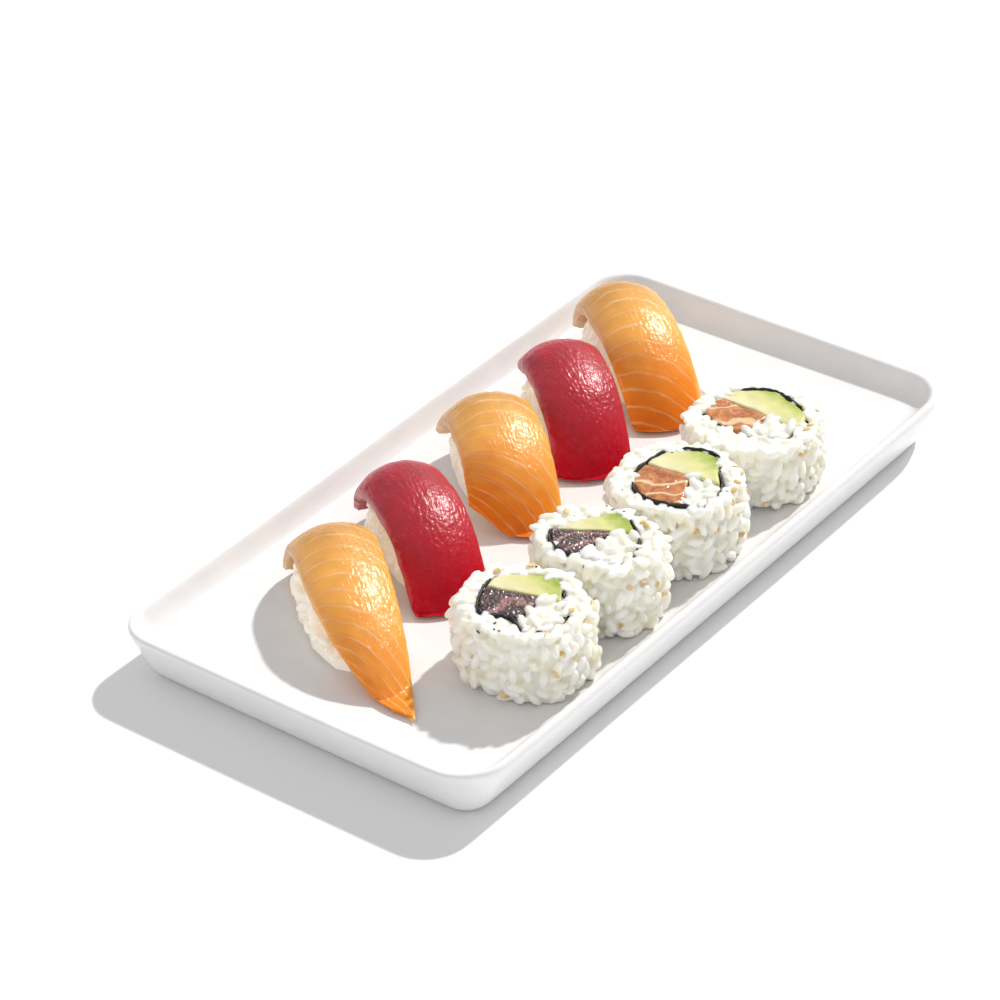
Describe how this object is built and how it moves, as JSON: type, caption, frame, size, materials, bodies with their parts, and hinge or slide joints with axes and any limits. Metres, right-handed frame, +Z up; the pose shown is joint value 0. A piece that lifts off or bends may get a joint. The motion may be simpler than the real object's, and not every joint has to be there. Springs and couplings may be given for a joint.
{
  "type": "nigiri platter",
  "caption": "Rectangular white stoneware platter holding a row of salmon and tuna nigiri and a row of inside-out avocado and fish rolls.",
  "frame": {"origin": "on the surface that the platter stands on, under the middle of its length and width", "axes": "+X along the platter's length, +Y across it from the row of rolls towards the row of nigiri, +Z up"},
  "size_m": [0.2605, 0.143, 0.0388],
  "materials": {
    "glazed_stoneware": "smooth white glaze over stoneware, glossy",
    "cooked_rice": "moist translucent short-grain rice",
    "salmon": "moist raw salmon with pale fat lines",
    "tuna": "moist raw red tuna",
    "avocado": "soft cut avocado, pale yellow to green",
    "nori": "dark pressed seaweed"
  },
  "bodies": {
    "root": {"platter": "glazed_stoneware", "nigiri_1_salmon": "salmon", "nigiri_1_rice": "cooked_rice", "nigiri_2_tuna": "tuna", "nigiri_2_rice": "cooked_rice", "nigiri_3_salmon": "salmon", "nigiri_3_rice": "cooked_rice", "nigiri_4_tuna": "tuna", "nigiri_4_rice": "cooked_rice", "nigiri_5_salmon": "salmon", "nigiri_5_rice": "cooked_rice", "roll_1_outer_rice": "cooked_rice", "roll_1_nori": "nori", "roll_1_avocado": "avocado", "roll_1_tuna": "tuna", "roll_1_inner_rice": "cooked_rice", "roll_2_outer_rice": "cooked_rice", "roll_2_nori": "nori", "roll_2_avocado": "avocado", "roll_2_tuna": "tuna", "roll_2_inner_rice": "cooked_rice", "roll_3_outer_rice": "cooked_rice", "roll_3_nori": "nori", "roll_3_avocado": "avocado", "roll_3_salmon": "salmon", "roll_3_inner_rice": "cooked_rice", "roll_4_outer_rice": "cooked_rice", "roll_4_nori": "nori", "roll_4_avocado": "avocado", "roll_4_salmon": "salmon", "roll_4_inner_rice": "cooked_rice"}
  },
  "joints": []
}
